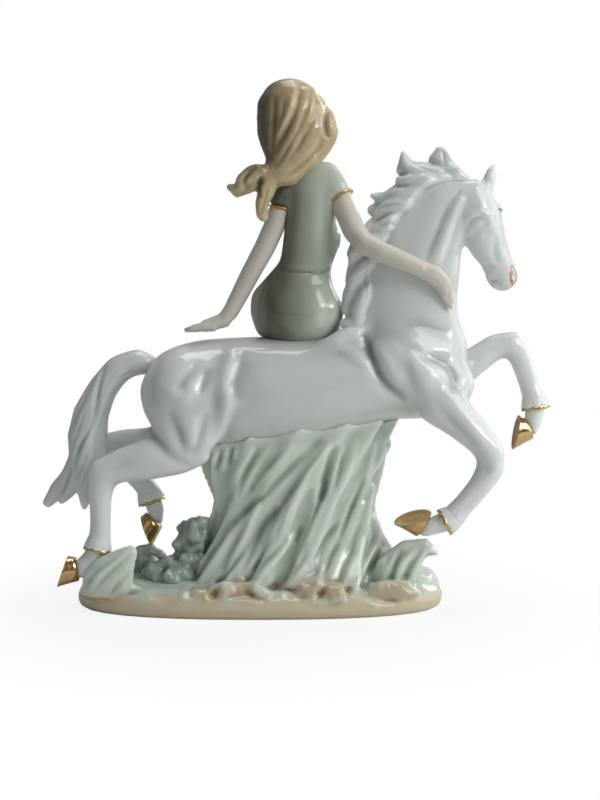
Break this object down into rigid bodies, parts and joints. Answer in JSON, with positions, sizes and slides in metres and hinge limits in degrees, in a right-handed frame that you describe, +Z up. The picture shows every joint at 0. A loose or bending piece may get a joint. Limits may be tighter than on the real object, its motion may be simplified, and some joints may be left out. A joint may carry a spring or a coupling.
{
  "type": "horse and rider figurine",
  "caption": "Glazed porcelain figurine of a side-saddle rider in a long dress on a cantering horse, carried by a sheaf of grass on an oval plinth.",
  "frame": {"origin": "centre of the plinth's flat underside", "axes": "+X the way the horse goes, +Y its left side, where the rider faces, +Z up"},
  "size_m": [0.295, 0.1067, 0.2999],
  "materials": {
    "white_glaze": "high gloss clear porcelain glaze over white, cool grey where it pools",
    "green_glaze": "high gloss celadon green glaze, darker in the furrows",
    "moss_glaze": "gloss dark moss green glaze",
    "sand_glaze": "satin gloss sand glaze with brown stains, green towards the top",
    "dress_glaze": "gloss grey green glaze",
    "hair_glaze": "gloss taupe glaze, brown in the grooves",
    "skin_bisque": "satin cream bisque porcelain",
    "gold_lustre": "polished gold lustre"
  },
  "bodies": {
    "root": {"plinth": "sand_glaze", "grass_sheaf": "green_glaze", "moss": "moss_glaze", "rock": "moss_glaze", "broad_leaf": "green_glaze", "grass_plume": "green_glaze", "horse_trunk": "white_glaze", "horse_neck": "white_glaze", "horse_head": "white_glaze", "horse_ear_near": "white_glaze", "horse_ear_far": "white_glaze", "leg_fore_near": "white_glaze", "band_fore_near": "gold_lustre", "hoof_fore_near": "gold_lustre", "leg_fore_far": "white_glaze", "band_fore_far": "gold_lustre", "hoof_fore_far": "gold_lustre", "leg_hind_near": "white_glaze", "band_hind_near": "gold_lustre", "hoof_hind_near": "gold_lustre", "leg_hind_far": "white_glaze", "band_hind_far": "gold_lustre", "hoof_hind_far": "gold_lustre", "horse_tail": "white_glaze", "mane_crest": "white_glaze", "mane_withers": "white_glaze", "skirt": "dress_glaze", "bodice": "dress_glaze", "arm_right": "skin_bisque", "sleeve_rim_right": "gold_lustre", "arm_left": "skin_bisque", "sleeve_rim_left": "gold_lustre", "rider_leg_left": "skin_bisque", "rider_leg_right": "skin_bisque", "rider_head": "skin_bisque", "hair": "hair_glaze", "hair_tie_ends": "hair_glaze"}
  },
  "joints": []
}
